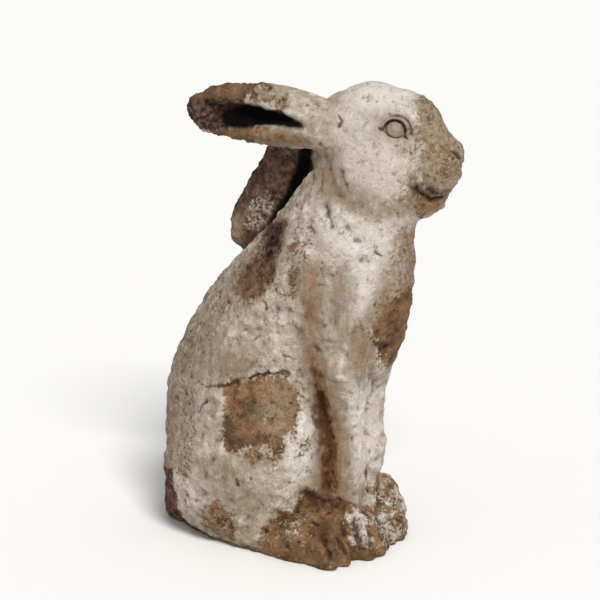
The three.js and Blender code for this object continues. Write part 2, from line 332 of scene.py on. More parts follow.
eye_places = [centre for centre, *_ in eyes]
fine_places = [p for places, _, width, _ in marks if width < crack_width for p in places]
refine(statue.data, eye_places, reach_mm=21)
refine(statue.data, fine_places, reach_mm=4.5)
refine(statue.data, eye_places, reach_mm=18)
triangles = len(statue.data.loops) - 2 * len(statue.data.polygons)
print("net of", triangles, "triangles")

# %% [markdown]
# Moving the net
#
# The net's points are read into arrays, moved, and written back. A point moves along its normal,
# so a mark is always square to the surface. The underside stays flat and at the floor.

# %% Read and move the points


def read_net():
    """The points and normals of the net as arrays, in metres."""
    points = np.empty(len(statue.data.vertices) * 3)
    statue.data.vertices.foreach_get("co", points)
    normals = np.empty(len(points))
    statue.data.vertex_normals.foreach_get("vector", normals)
    return points.reshape(-1, 3), normals.reshape(-1, 3)


def write_net(points):
    """Writes the points back, none of them under the floor."""
    points[:, 2] = np.maximum(points[:, 2], 0)
    statue.data.vertices.foreach_set("co", points.ravel())
    statue.data.update()


def move(amount):
    """Moves each point out along its normal by a distance in millimetres, but not the underside's."""
    points, normals = read_net()
    lifted = np.clip(points[:, 2] / (3 * mm), 0, 1)
    write_net(points + normals * (amount * lifted * mm)[:, None])


def step(value, start, end):
    """Goes from 0 to 1, softly, as the value goes from start to end."""
    t = np.clip((value - start) / (end - start), 0, 1)
    return t * t * (3 - 2 * t)


def stroke(points, normals, mark):
    """How deep each point lies in a mark, 0 to 1: all of it on the path, none two widths away."""
    places, facing, width, _ = mark
    path = np.array(places)
    deepest = np.zeros(len(points))
    near = np.linalg.norm(points - path.mean(0), axis=1) < np.ptp(path, axis=0).max() + 4 * width * mm
    some = points[near]
    total = len(path) - 1
    for i, (a, b) in enumerate(zip(path, path[1:])):
        along = np.clip((some - a) @ (b - a) / max(((b - a) ** 2).sum(), 1e-12), 0, 1)
        gap = np.linalg.norm(some - a - along[:, None] * (b - a), axis=1) / mm
        taper = 1 - (2 * (i + along) / total - 1) ** 4 * 0.7
        level = np.exp(-((gap / width) ** 2) * 1.6) * taper
        deepest[near] = np.maximum(deepest[near], level)
    return deepest * (normals @ np.array(facing[len(facing) // 2]) > -0.2)


print("points to move", len(statue.data.vertices))

# %% [markdown]
# The eyes
#
# Each eye is a convex ball between two lids. The opening is the overlap of two circles, a high
# one above and a low one below, which gives the almond with its two corners. The distance to its
# edge then places the dark groove inside the lids, the round lids, and a second fold above.

# %% Model the eyes
upper_lid, lower_lid = 12.0, 5.0
ball_long, ball_tall, ball_lift = 9.0, 8.8, 3.4


def lid_width(u, v):
    """The lid is widest above the ball and in front of it, and narrow below."""
    return 2.4 + step(v, -3, 5) * (1.6 + 1.4 * step(u, -2, 8))


def eye_relief(u, v):
    """The eye's relief over the smooth head in millimetres, and the distance to its opening."""
    upper = (opening ** 2 + upper_lid ** 2) / (2 * upper_lid)
    lower = (opening ** 2 + lower_lid ** 2) / (2 * lower_lid)
    edge = np.maximum(
        np.hypot(u, v - (upper_lid - upper)) - upper,
        np.hypot(u, v + (lower_lid - lower)) - lower,
    )
    eyeball = np.sqrt(np.clip(1 - (u / ball_long) ** 2 - ((v - ball_lift) / ball_tall) ** 2, 0, 1))
    inner = np.where(edge < 0.4, -2.8 + 6.8 * eyeball, 0)
    above = step(v, -2, 5)
    lid_wide = lid_width(u, v)
    groove = -(1.0 + 2.0 * above) * np.exp(-((edge + 0.1) / 1.4) ** 2)
    lid = (1.0 + 3.0 * above) * np.sin(np.pi * np.clip((edge - 0.1) / lid_wide, 0, 1))
    fold = -2.0 * above * step(u, -12, -2) * np.exp(-((edge - lid_wide - 0.8) / 1.4) ** 2)
    return inner + groove + lid + fold, edge


eye_reach, eye_thickness, smooth_head_from = 34, 16, 21
bulge_mm, bulge_spread = 1.2, 260

points, normals = read_net()
eye_groove_shade, on_eye = np.zeros(len(points)), np.zeros(len(points))
for centre, front, rise, out in eyes:
    offset = (points - np.array(centre)) / mm
    u, v, w = offset @ np.array(front), offset @ np.array(rise), offset @ np.array(out)
    close = (np.hypot(u, v) < eye_reach) & (np.abs(w) < eye_thickness)
    around = close & (np.hypot(u, v - 3) > smooth_head_from)
    form = np.stack([np.ones(len(u)), u, v, u * u, u * v, v * v], axis=1)
    bend = np.linalg.lstsq(form[around], w[around], rcond=None)[0]
    relief, edge = eye_relief(u, v)
    blend = np.where(close, 1 - step(edge, 5.5, 13), 0)
    bulge = bulge_mm * np.exp(-(u ** 2 + (v - 3) ** 2) / bulge_spread)
    wanted = form @ bend + bulge + relief
    points += ((wanted - w) * blend * mm)[:, None] * np.array(out)
    on_eye = np.maximum(on_eye, blend)
    # The eye's grooves are painted darker as shade: the groove inside the lids and the fold above.
    above = step(v, -4, 5)
    lines = (0.5 + 0.5 * above) * np.exp(-((edge - 0.1) / 1.3) ** 2)
    lines += 0.7 * above * step(u, -11, -3) * np.exp(-((edge - lid_width(u, v) - 0.8) / 1.4) ** 2)
    eye_groove_shade = np.maximum(eye_groove_shade, lines * close)
write_net(points)
print("modelled", len(eyes), "eyes")

# %% [markdown]
# Cutting the marks
#
# No crack in cement is even. The points are shifted a little by soft noise before they are
# measured against a mark's path, so each mark wanders, widens and narrows.

# %% Cut the marks


def lumps(points, size_mm, octaves=3, drawn=1.0, shift=0.0):
    """Soft noise, about -1 to 1, with lumps of a real size, and drawn out downwards if asked."""
    scale = 1 / (size_mm * mm)
    spots = points * [scale, scale, scale / drawn] + shift
    return np.array([noise.fractal(Vector(p), 1.0, 2.0, octaves) for p in spots])


wander_mm = 1.7
# Cracks are darkened fully, and wider gaps, as between the toes, less: soil and painted shade.
gap_width, gap_dirt_and_shade = 5, 0.25

points, normals = read_net()
wander = np.stack([lumps(points, 6, 2, shift=axis * 17) for axis in range(3)], axis=1)
wander = wander * wander_mm * mm
cut, crack_cut = np.zeros(len(points)), np.zeros(len(points))
for mark in marks:
    width, depth = mark[2:]
    level = stroke(points + wander, normals, mark) * depth
    cut = np.maximum(cut, level)
    if width < gap_width:
        crack_cut = np.maximum(crack_cut, level * (1.0 if width < crack_width else gap_dirt_and_shade))
move(-cut)
print("deepest cut", round(float(cut.max()), 1), "mm")

# %% [markdown]
# Worn cement
#
# Cement pressed by hand is never even. Soft noise at three real sizes gives the slow waves, the
# lumps left by the tool, and shallow dents. On the back and the neck, finer lumps are drawn out
# downwards, where rain has run. The eyes and the top of the head stay calmer.

# %% Give the surface its unevenness
waves_mm, tool_marks_mm, dents_mm, rain_mm = 1.5, 2.1, 4.2, 1.2

points, normals = read_net()
behind = step(-points[:, 0] / height, -0.05, 0.1) * step(points[:, 2] / height, 0.3, 0.5)
waves = lumps(points, 42, 2)
tool_marks = lumps(points, 11, 3)
rain = lumps(points, 7, 2, drawn=5, shift=3)
dents = np.minimum(lumps(points, 17, 2, shift=41) + 0.15, 0)
upper_head = step(points[:, 2] / height, 0.74, 0.8) * step(points[:, 0] / height, -0.04, 0.02)
calm = (1 - 0.85 * on_eye) * (1 - 0.5 * upper_head)
uneven = waves * waves_mm + tool_marks * tool_marks_mm + dents * dents_mm
move((uneven + rain * behind * rain_mm) * calm)
print("the surface is uneven by up to", round(float(np.abs(uneven * calm).max()), 1), "mm")

# %% [markdown]
# Where the paint has gone
#
# Each patch of bare cement is an outline of picture points. A point of the net takes it only if
# the camera sees that point, so a patch doesn't print through to the far side. Past the edge of
# what is seen, sight fades over a few millimetres, or a patch would end there in teeth. Patches
# that go round the form, such as the feet and the ear tips, are also given as zones of the body.

# %% Find what the camera sees
points, normals = read_net()
edges = np.empty(len(statue.data.edges) * 2, dtype=np.int32)
statue.data.edges.foreach_get("vertices", edges)
edges = edges.reshape(-1, 2)
ends = np.concatenate([edges[:, 0], edges[:, 1]])
others = np.concatenate([edges[:, 1], edges[:, 0]])
counts = np.bincount(ends, minlength=len(points))


def softened(values, rounds):
    """Each value drawn towards the mean of its neighbours', so many times over."""
    for _ in range(rounds):
        means = [np.bincount(ends, column[others], len(points)) / counts for column in values.T]
        values = values * 0.4 + np.stack(means, axis=1) * 0.6
    return values


clear_mm, fade_rounds = 1.5, 6
seen_tree = BVHTree.FromObject(statue, bpy.context.evaluated_depsgraph_get())
facing = normals @ np.array(back)
seen = np.zeros(len(points))
for i in np.nonzero(facing > 0)[0]:
    start = Vector(points[i] + normals[i] * clear_mm * mm)
    seen[i] = seen_tree.ray_cast(start, (camera.location - start).normalized())[0] is None
seen = np.maximum(seen, (softened(seen[:, None], fade_rounds)[:, 0] * 2).clip(0, 1))

offset = points - np.array(camera.location)
depth = -offset @ np.array(back)
picture = np.stack([
    centre_px[0] + focal_px * (offset @ np.array(right)) / depth,
    centre_px[1] - focal_px * (offset @ np.array(up)) / depth,
], axis=1)
print("seen", round(100 * float(seen.mean())), "% of the points")

# %% Turn outlines and zones into fields


def inside(outline):
    """How far inside an outline of picture points each point of the net lies, in picture points."""
    gap = np.full(len(picture), np.inf)
    within = np.zeros(len(picture), bool)
    for (ax, ay), (bx, by) in zip(outline, outline[1:] + outline[:1]):
        edge, start = np.array([bx - ax, by - ay], float), np.array([ax, ay], float)
        along = np.clip((picture - start) @ edge / (edge @ edge), 0, 1)
        gap = np.minimum(gap, np.linalg.norm(picture - start - along[:, None] * edge, axis=1))
        crosses = (ay > picture[:, 1]) != (by > picture[:, 1])
        if by != ay:
            within ^= crosses & (picture[:, 0] < (bx - ax) * (picture[:, 1] - ay) / (by - ay) + ax)
    return np.where(within, gap, -gap)


def patch(outline, soft):
    """1 inside an outline and 0 outside it, with an edge as soft as asked, on what the camera sees."""
    return step(inside(outline), -soft, soft) * seen


def oval(centre, radii):
    """How far inside an oval each point lies: 1 at its middle, and 0 at its edge. The centre and
    the radii are in hundredths of the height."""
    return 1 - np.linalg.norm((points / height * 100 - centre) / radii, axis=1)


print("fields are laid on", len(points), "points")

# %% [markdown]
# Eight fields carry the colours. Bare says how much of the paint has gone, and its edge lies at
# a half. The damp field is damp, old cement, as on the ears and the tail, and it is also painted
# shade in the ears' hollows, under the chest and the mouth, above the hind foot and along the
# bottom. Pale is cement that rain has bleached. The black field is painted shade: the bottom of
# an ear's hollow and the gap below the far ear. The stain field is brown water that has run over
# the paint, and it is also painted shade in the folds, under the cheek and the chest, between the
# legs, under a crack's lip, towards the bottom and on sides turned from the light. The clean
# field is paint that is washed clean, and it is also painted light on the head's top, the upper
# chest and the foreleg. Dirt and the highlight field come later: soil caught in cracks and pits,
# with painted shade in every hollow, the eye's grooves, the mouth and between the toes, and a
# painted highlight on the tops of lumps.

# %% List the patches of the trunk
thigh = [
    (222, 386), (245, 379), (284, 377), (294, 390), (302, 408), (296, 422), (293, 436), (283, 436),
    (284, 450), (273, 454), (261, 445), (249, 447), (239, 453), (226, 446), (224, 420), (228, 400),
]
thigh_low = [(236, 444), (262, 444), (284, 452), (280, 470), (262, 468), (240, 462)]
thigh_light = [(262, 384), (290, 382), (302, 408), (294, 430), (270, 438), (256, 412)]
thigh_dark = [(226, 420), (246, 426), (264, 442), (262, 454), (238, 456), (224, 446)]
haunch_flakes = [(285, 406), (300, 402), (314, 420), (318, 456), (310, 486), (294, 490), (282, 462)]
# Painted shade on the lower haunch, which faces down and away from the light.
haunch_low_shade = [(186, 450), (232, 460), (262, 476), (280, 500), (252, 520), (206, 502)]
rust_low = [(199, 516), (217, 494), (225, 506), (233, 524), (238, 540), (222, 540), (204, 528)]
back_wear = [
    (150, 400), (176, 330), (210, 276), (240, 246), (250, 300), (218, 330), (200, 380), (196, 470),
    (150, 480),
]
# Painted shadow under the crack's overhanging lip above the thigh.
crack_overhang_shadow = [(196, 352), (250, 348), (262, 368), (244, 378), (206, 382)]
# Painted shade on the haunch left of the thigh's patch, turned from the light.
haunch_side_shade = [(184, 376), (222, 376), (222, 440), (190, 446)]
# Painted shade on the lower back, turned from the light.
back_low_shade = [(176, 350), (206, 316), (222, 330), (216, 376), (184, 400)]
# The tail: bare, damp cement, darker also as painted shade.
tail_back = [(150, 462), (172, 468), (179, 494), (188, 514), (194, 530), (176, 542), (150, 520)]
# The bottom edge: bare cement, and painted shade near the floor.
bottom_edge = [(180, 522), (206, 534), (236, 544), (264, 552), (264, 580), (210, 570), (176, 540)]
leg_fold = [
    (308, 362), (318, 366), (324, 392), (334, 420), (338, 456), (340, 496), (316, 498), (318, 470),
    (320, 440), (316, 412),
]
leg_shade = [
    (305, 350), (322, 350), (336, 392), (347, 440), (350, 500), (308, 500), (317, 470), (320, 430),
    (311, 392),
]
# Painted light on the lit side of the forelegs.
forelegs_lit_side = [(346, 372), (372, 348), (386, 356), (382, 420), (376, 484), (352, 484), (346, 430)]
chest = [
    (410, 284), (424, 284), (424, 340), (388, 362), (374, 346), (368, 334), (375, 318), (388, 304),
    (398, 292),
]
# Painted shade under the chest's bulge, above the forelegs.
chest_underside_shade = [(378, 322), (404, 322), (404, 340), (388, 356), (374, 346), (368, 334)]
chest_wear = [
    (396, 226), (430, 226), (430, 290), (392, 296), (384, 322), (364, 356), (350, 338), (374, 290),
    (390, 270),
]
# The upper chest: sound paint, brighter as a painted highlight where the light falls.
chest_bright = [(352, 250), (382, 262), (380, 290), (364, 330), (352, 330), (350, 290)]
shoulder_stain = [
    (300, 264), (318, 262), (326, 300), (322, 352), (314, 376), (300, 366), (296, 330),
]
# Painted shade on the shoulder, turned from the light.
shoulder_shade = [(330, 270), (352, 262), (356, 300), (350, 342), (330, 352), (322, 310)]
thigh_wide = max(thigh)[0] - min(thigh)[0]
print("the thigh's patch is about", round(thigh_wide * distance / focal_px / mm), "mm wide")

# %% List the patches of the neck and the head
neck_streak = [
    (270, 222), (286, 222), (284, 244), (276, 266), (268, 286), (256, 300), (246, 302), (233, 290),
    (236, 274), (250, 258), (262, 244),
]
# The streak's top below the far ear: bare, damp cement, and painted shade under the ear.
streak_top = [(268, 222), (286, 222), (283, 246), (274, 262), (262, 262), (264, 244)]
neck_wear = [(276, 206), (300, 200), (316, 240), (304, 300), (284, 300), (276, 262)]
neck_smooth = [
    (318, 206), (350, 212), (390, 214), (398, 232), (386, 262), (352, 266), (330, 252), (318, 228),
]
fold_shade = [(318, 148), (334, 148), (352, 186), (356, 206), (328, 208), (312, 186)]
jaw_shade = [(350, 196), (376, 204), (408, 200), (410, 216), (376, 222), (348, 214)]
# Painted shade under the cheek and the jaw.
cheek_underside_shade = [(346, 176), (368, 184), (384, 196), (380, 208), (350, 206)]
cheek_wear = [(404, 150), (420, 140), (424, 190), (404, 210), (380, 214), (398, 184)]
head_smooth = [
    (336, 108), (372, 112), (392, 142), (408, 160), (410, 180), (396, 202), (372, 204), (352, 194),
    (340, 168), (332, 136),
]
# The head's top: sound paint, brighter as painted light from above.
head_bright = [(338, 88), (372, 76), (410, 80), (418, 96), (404, 112), (378, 112), (346, 112)]
mouth_shade = [(408, 186), (418, 184), (426, 190), (440, 194), (438, 200), (420, 200), (409, 194)]
eye_shade = [
    (374, 120), (390, 111), (408, 116), (416, 132), (411, 143), (396, 143), (380, 140), (368, 132),
]
muzzle = [
    (410, 100), (424, 88), (440, 100), (480, 130), (480, 190), (450, 200), (444, 206), (428, 214),
    (408, 208), (412, 192), (420, 184), (414, 164), (420, 146), (414, 134), (416, 115),
]
bridge = [(416, 112), (434, 104), (452, 132), (440, 146), (424, 146), (416, 132)]
nose_rust = [(441, 151), (452, 146), (462, 158), (460, 172), (448, 180), (440, 168)]
mouth_crust = [(407, 175), (417, 172), (421, 186), (414, 195), (408, 188)]
chin = [(408, 196), (424, 194), (448, 196), (440, 212), (422, 216), (406, 208)]
print("the muzzle's outline has", len(muzzle), "corners")

# %% List the patches of the ears
ear_top = [
    (176, 110), (180, 84), (236, 66), (270, 66), (272, 80), (252, 92), (242, 103), (200, 106),
]
# The near ear's hollow: bare, damp cement, and painted shade from above.
ear_hollow = [
    (176, 110), (186, 98), (206, 98), (238, 102), (262, 107), (288, 116), (306, 126), (302, 129),
    (284, 125), (262, 125), (238, 128), (214, 132), (200, 128),
]
# Painted shade at the bottom of the near ear's hollow.
ear_hollow_shadow = [
    (221, 112), (250, 103), (284, 113), (306, 125), (302, 129), (270, 125), (236, 128), (223, 125),
]
ear_low_rim = [(204, 133), (222, 130), (240, 126), (258, 127), (257, 142), (236, 148), (206, 142)]
rim_shade = [(256, 126), (300, 131), (314, 144), (256, 146)]
ear_chips = [(236, 88), (262, 80), (286, 90), (296, 104), (280, 108), (250, 102)]
far_ear = [
    (240, 140), (312, 140), (312, 190), (294, 214), (280, 240), (262, 254), (220, 254), (216, 226),
]
far_ear_flakes = [
    (256, 188), (268, 190), (274, 206), (270, 228), (252, 234), (241, 226), (246, 208),
]
far_ear_tip = [(224, 214), (242, 212), (244, 246), (224, 246)]
far_ear_shade = [
    (300, 144), (314, 144), (310, 176), (294, 206), (276, 240), (258, 244), (266, 226), (284, 196),
    (296, 166),
]
print("the hollow's outline has", len(ear_hollow), "corners")

# %% List the patches of the feet
feet = [
    (262, 580), (262, 528), (284, 510), (306, 492), (322, 486), (344, 502), (366, 504), (380, 474),
    (404, 466), (430, 520), (420, 580),
]
hind_foot_flakes = [(268, 532), (300, 502), (318, 512), (316, 530), (290, 548), (270, 552)]
paw_flakes = [
    (338, 516), (350, 508), (368, 500), (388, 478), (404, 484), (414, 512), (410, 532), (392, 546),
    (364, 556), (350, 546),
]
far_paw_flakes = [(386, 484), (402, 484), (412, 508), (400, 514), (386, 506)]
# Painted shade between the foreleg and the chest.
between_legs_shade = [(346, 322), (364, 318), (376, 344), (376, 378), (360, 388), (348, 372)]
# Painted shadow cast by the haunch into the hollow above the hind foot.
foot_hollow_shadow = [(300, 486), (318, 488), (346, 498), (350, 508), (330, 512), (306, 504)]
print("the feet's outline has", len(feet), "corners")

# %% [markdown]
# The photograph shows one side only. So the zones below carry the bare cement on round the
# form: the feet, the two ear tips, the nose, the chest and the tail. On the hidden side a slow
# noise adds worn patches of the same size as those in view.

# %% Make the zones that go round the form
ragged = lumps(points, 16, 4, shift=7) * 0.75 + lumps(points, 5.5, 3, shift=11) * 0.5
x, y, z = (points / height * 100).T
local = (points - np.array(head_middle)) / height * 100
nose_way = local[:, 0] * math.cos(head_turn) + local[:, 1] * math.sin(head_turn)
on_head = step(z, 72, 76) * step(nose_way, 0, 4)
left_side = step(y, -3.2, -1.7)
hidden = 1 - seen

low_parts = np.maximum(step(9.5 - z, 0, 3) * step(x, -2, 3), step(2.2 - z, 0, 1.4) * 0.8)
near_tip = step(oval((-14, -7, 92), (12, 9, 9)), 0, 0.2)
far_tip = step(oval((-11, 6, 70), (9, 6, 16)), 0, 0.3) * step(y, 2, 4)
ear_tips = (near_tip + far_tip).clip(0, 1)
nose = on_head * step(nose_way + local[:, 2] * 0.12, 10.2, 11.6)
front = step(oval((25, 3, 47), (7, 7, 9)), 0, 0.3)
tail_zone = step(oval((-28.5, -1, 4), (8, 9, 9)), 0, 0.2)
worn = step(lumps(points, 55, 3, shift=23), 0.12, 0.5)
far_ear_seen = patch(far_ear, 2) * left_side
tail_seen = patch(tail_back, 4) * step(-x, 20.5, 23)
print("worn on the hidden side", round(100 * float((worn * hidden > 0.5).mean())), "% of the points")

# %% [markdown]
# A flake's edge is ragged over one or two centimetres. On the streak down the neck the edge is
# drawn out downwards, and on the muzzle, the jaw and the upper chest the paint is peppered: so
# close to going everywhere that grains of sand decide.

# %% Lay the bare cement
drawn_edge = lumps(points, 5, 4, drawn=6, shift=47) * 1.1
streak = patch(neck_streak, 14)
ragged = ragged * (1 - 0.7 * streak) + drawn_edge * streak
peppered = np.max([
    patch(muzzle, 10), patch(bridge, 10) * 0.6, patch(chest_wear, 14), patch(cheek_wear, 14),
    patch(jaw_shade, 9), patch(chin, 9), patch(back_wear, 14), patch(far_ear_flakes, 6), nose * hidden,
], axis=0)
ragged *= 1 - 0.6 * peppered

share = np.max([
    patch(thigh, 10), patch(thigh_low, 9) * 0.5, patch(rust_low, 7) * 0.6, patch(bottom_edge, 6) * 1.05,
    patch(neck_streak, 14) * 0.82, patch(streak_top, 11) * 0.95, patch(neck_wear, 10) * 0.3,
    patch(chest, 15), patch(chest_wear, 14) * 0.42, patch(cheek_wear, 12) * 0.44,
    patch(muzzle, 16) * 0.62, patch(bridge, 12) * 0.7, patch(chin, 8) * 0.56, patch(nose_rust, 6) * 0.66,
    patch(ear_top, 6), patch(ear_hollow, 3), patch(ear_low_rim, 4), patch(ear_chips, 7) * 0.55,
    far_ear_seen, patch(feet, 14) * 0.95, tail_seen, patch(leg_fold, 8) * 0.2,
    patch(haunch_flakes, 8) * 0.15, patch(back_wear, 12) * 0.3, low_parts * 0.9,
    ear_tips * hidden, nose * hidden * 0.8, front * hidden, tail_zone, worn * hidden * 0.8,
], axis=0)
flaked = np.max([
    patch(paw_flakes, 6) * 0.52, patch(far_paw_flakes, 6) * 0.8, patch(hind_foot_flakes, 7) * 0.22,
    patch(far_ear_flakes, 5) * left_side * 0.66, patch(ear_chips, 6) * 0.12,
    low_parts * hidden * 0.2,
], axis=0)
sound = np.max([
    patch(head_bright, 12), patch(head_smooth, 12) * 0.6, patch(chest_bright, 12) * 0.7,
], axis=0)
level = -0.95 + 1.75 * share - 1.3 * flaked - 0.5 * sound + ragged
bare = (0.5 + 0.36 * level).clip(0, 1)
print("bare", round(100 * float((bare > 0.5).mean())), "% of the points")

# %% Lay the damp, the stains, the clean paint, the pale cement, and the painted shade and light
# Damp, old cement on the ears and the tail, and painted shade: the ears' hollows, the far ear's gap by
# the neck, under the chest and the mouth, above the hind foot, and the bottom edge.
damp_and_shade = np.max([
    patch(ear_hollow, 3) * 0.85, patch(ear_hollow_shadow, 4), far_ear_seen * 0.6,
    patch(far_ear_shade, 6) * left_side,
    patch(neck_streak, 12) * 0.55, patch(streak_top, 9), tail_seen * 0.6, tail_zone * 0.5,
    ear_tips * 0.6 * (1 - patch(ear_low_rim, 3)) * (1 - patch(ear_top, 4) * 0.4),
    patch(chest_underside_shade, 9) * 0.35, patch(chin, 6) * 0.15, patch(thigh_dark, 8) * 0.3,
    patch(mouth_shade, 4) * 0.5, patch(foot_hollow_shadow, 8) * 0.6, patch(bottom_edge, 6) * 0.4,
], axis=0) - patch(far_ear_tip, 6) * 0.4
damp_and_shade = damp_and_shade.clip(0, 1)
# Painted shade: near black at the bottom of the near ear's hollow and in the gap between the far ear and
# the neck, where shade falls.
painted_black_shade = np.max([
    patch(ear_hollow_shadow, 4), patch(ear_hollow, 4) * 0.3, patch(far_ear_shade, 6) * left_side,
    patch(streak_top, 8) * 0.5,
], axis=0)
# Brown water that has run over the paint, and painted shade: the folds, under the cheek, the jaw and the
# chest, round the eye, under the ear's rim, between the legs, under the crack above the thigh, above the
# hind foot, on the shoulder, haunch and back turned from the light, and darker towards the bottom.
stain_and_shade = np.max([
    patch(shoulder_stain, 16) * 0.78, patch(leg_shade, 20) * 1.1, patch(leg_fold, 12) * 1.3,
    patch(foot_hollow_shadow, 8) * 1.2, patch(neck_streak, 16) * 1.05, patch(streak_top, 9) * 1.3,
    patch(rust_low, 16) * 0.7, patch(fold_shade, 12) * 0.62, patch(shoulder_shade, 14) * 0.52,
    patch(haunch_low_shade, 14) * 0.45, patch(back_low_shade, 14) * 0.5, patch(rim_shade, 6) * 0.85,
    patch(eye_shade, 9) * 0.38, patch(ear_chips, 9) * 0.4, patch(bottom_edge, 12) * 0.8,
    patch(thigh, 12) * 0.25, patch(back_wear, 16) * 0.32, patch(jaw_shade, 9) * 0.5,
    patch(chin, 9) * 0.75, patch(between_legs_shade, 12) * 0.7, patch(crack_overhang_shadow, 12) * 0.5,
    patch(haunch_side_shade, 14) * 0.35, patch(cheek_underside_shade, 10) * 0.4, patch(muzzle, 8) * 0.25,
    patch(chest, 18) * 0.3, patch(chest_wear, 14) * 0.5, step(9 - z, 0, 9) * 0.45, worn * hidden * 0.4,
], axis=0)
# Paint washed clean, and painted light: brighter on the head's top, the upper chest and the forelegs'
# side, where the light falls.
clean_and_lit = np.max([
    patch(head_bright, 14), patch(head_smooth, 14) * 0.62, patch(neck_smooth, 14) * 0.75,
    patch(chest_bright, 14) * 0.8, patch(forelegs_lit_side, 10) * 0.65, patch(haunch_flakes, 8) * 0.75,
    patch(paw_flakes, 6) * 0.6, hidden * on_head * 0.6,
], axis=0)
pale = np.max([
    patch(bridge, 9), patch(muzzle, 9) * (1 - patch(chin, 6)), patch(far_ear_tip, 6),
    patch(thigh_light, 9) * 0.6,
], axis=0) * (1 - patch(nose_rust, 5) * 0.6)
pale = np.maximum(pale, nose * hidden * 0.7)
print("damp", round(100 * float((damp_and_shade > 0.5).mean())), "% of the points")

# %% [markdown]
# The paint film has a thickness. It lies proud of the bare cement, thicker here than on the real
# statue, so that the flakes' edges show in the mesh. Small pits are where air bubbles broke.

# %% Raise the paint film and sink the pits
film_mm, pit_mm = 0.9, 1.8
grain_mm, bare_grain_mm, crust_mm = 0.5, 0.35, 0.5
film = 1 - step(bare, 0.42, 0.58)


def pits(points, spacing_mm, radius_mm, share, shift):
    """1 in the middle of scattered round pits, and 0 outside them."""
    scale = 1 / (spacing_mm * mm)
    found = np.zeros(len(points))
    for i, place in enumerate(points * scale + shift):
        gaps, middles = noise.voronoi(Vector(place))
        if noise.cell(middles[0] * 7.3) > 1 - 2 * share:
            found[i] = max(0.0, 1 - (gaps[0] * spacing_mm / radius_mm) ** 2)
    return found


holes = pits(points, spacing_mm=12, radius_mm=2.6, share=0.2, shift=4.5)
grain = lumps(points, 4.5, 2, shift=31)
smoother = np.maximum(patch(head_smooth, 12), patch(neck_smooth, 12) * 0.6)
smoother = np.maximum(smoother, patch(head_bright, 12) * 0.5)
calm = (1 - 0.8 * on_eye) * (1 - 0.7 * smoother)
crusty = np.max([
    patch(muzzle, 10), patch(bridge, 10), patch(paw_flakes, 6), patch(hind_foot_flakes, 8),
    patch(chest, 12) * 0.6, nose * hidden, low_parts * hidden * 0.6,
], axis=0)
relief = film * film_mm - holes * pit_mm + grain * (grain_mm + bare_grain_mm * (1 - film))
move((relief + grain * crusty * crust_mm) * calm)
print("film", film_mm, "mm, grain up to", round(float(np.abs(grain).max()), 1), "mm")

# %% Find the hollows that hold dirt and painted shade
fine_rounds, middle_rounds, wide_rounds = 4, 15, 44

points, normals = read_net()
fine_hollow = ((softened(points, fine_rounds) - points) * normals).sum(1) / mm
middle_hollow = ((softened(points, middle_rounds) - points) * normals).sum(1) / mm
wide_hollow = ((softened(points, wide_rounds) - points) * normals).sum(1) / mm
on_foot = step(13 - z, 0, 4)
# Soil in cracks, pits and crust, and painted shade: darker in every hollow, in the eye's grooves, in the
# mouth, between the toes and above the hind foot.
dirt_and_shade = step(fine_hollow, 0.15, 0.9) * 0.6 + step(middle_hollow, 0.4, 2) * 0.35
dirt_and_shade += step(wide_hollow, 1.4, 6) * (0.3 + 0.5 * on_foot) + patch(foot_hollow_shadow, 8) * 0.4
dirt_and_shade += step(crack_cut, 0.3, 1.6) * 0.85 + holes * 0.5 + eye_groove_shade * 0.9
dirt_and_shade += crusty * step(-grain, 0.1, 0.7) * 0.4 + patch(mouth_crust, 5) * 0.5
dirt_and_shade += patch(mouth_shade, 4) * 0.35
dirt_and_shade = dirt_and_shade.clip(0, 1)

# Painted highlight on the tops of lumps, where light falls.
lump_top_highlight = step(-fine_hollow * 0.5 - middle_hollow * 0.5, 0.15, 1.2)
print("dirt on", round(100 * float((dirt_and_shade > 0.5).mean())), "% of the points")

# %% Store the fields on the net
kept = {"bare": bare, "damp_and_shade": damp_and_shade, "pale": pale, "stain_and_shade": stain_and_shade, "clean_and_lit": clean_and_lit, "dirt_and_shade": dirt_and_shade}
kept |= {"painted_black_shade": painted_black_shade, "lump_top_highlight": lump_top_highlight}
for name, values in kept.items():
    attribute = statue.data.attributes.new(name, "FLOAT", "POINT")
    attribute.data.foreach_set("value", softened(values[:, None], 1)[:, 0].astype(np.float32))
statue.data.shade_smooth()
print({name: round(float(values.mean()), 2) for name, values in kept.items()})

# %% [markdown]
# The finish
#
# The finish is old masonry paint, brushed on and weathered, over cast cement. The paint is an
# even, chalky off-white that hides the grain. The cement is brown, rough and a little darker
# where it is damp. Both are matt. A ragged edge between them is what makes the surface look old.

# %% Start the material


def linear(hex_colour):
    """A colour as the renderer wants it, from its sRGB hex value."""
    parts = [int(hex_colour[i:i + 2], 16) / 255 for i in (1, 3, 5)]
    return [c / 12.92 if c <= 0.04045 else ((c + 0.055) / 1.055) ** 2.4 for c in parts] + [1.0]


finish = bpy.data.materials.new("weathered_masonry_paint_on_cast_cement")
finish.use_nodes = True
tree = finish.node_tree
shader = tree.nodes["Principled BSDF"]


def add(kind, settings=None, out=0, **sockets):
    """Adds a node with its settings, and gives one of its outputs back. A socket is named, or
    numbered as i0, i1 and so on, and takes a value or the output that feeds it."""
    node = tree.nodes.new(kind)
    for key, value in (settings or {}).items():
        setattr(node, key, value)
    for key, value in sockets.items():
        numbered = key[0] == "i" and key[1:].isdigit()
        socket = node.inputs[int(key[1:])] if numbered else node.inputs[key.replace("_", " ")]
        if isinstance(value, bpy.types.NodeSocket):
            tree.links.new(value, socket)
        else:
            socket.default_value = value
    return node.outputs[out]


place = add("ShaderNodeTexCoord", out="Object")
fields = {name: add("ShaderNodeAttribute", {"attribute_name": name}, "Fac") for name in kept}
print("fields", list(fields))

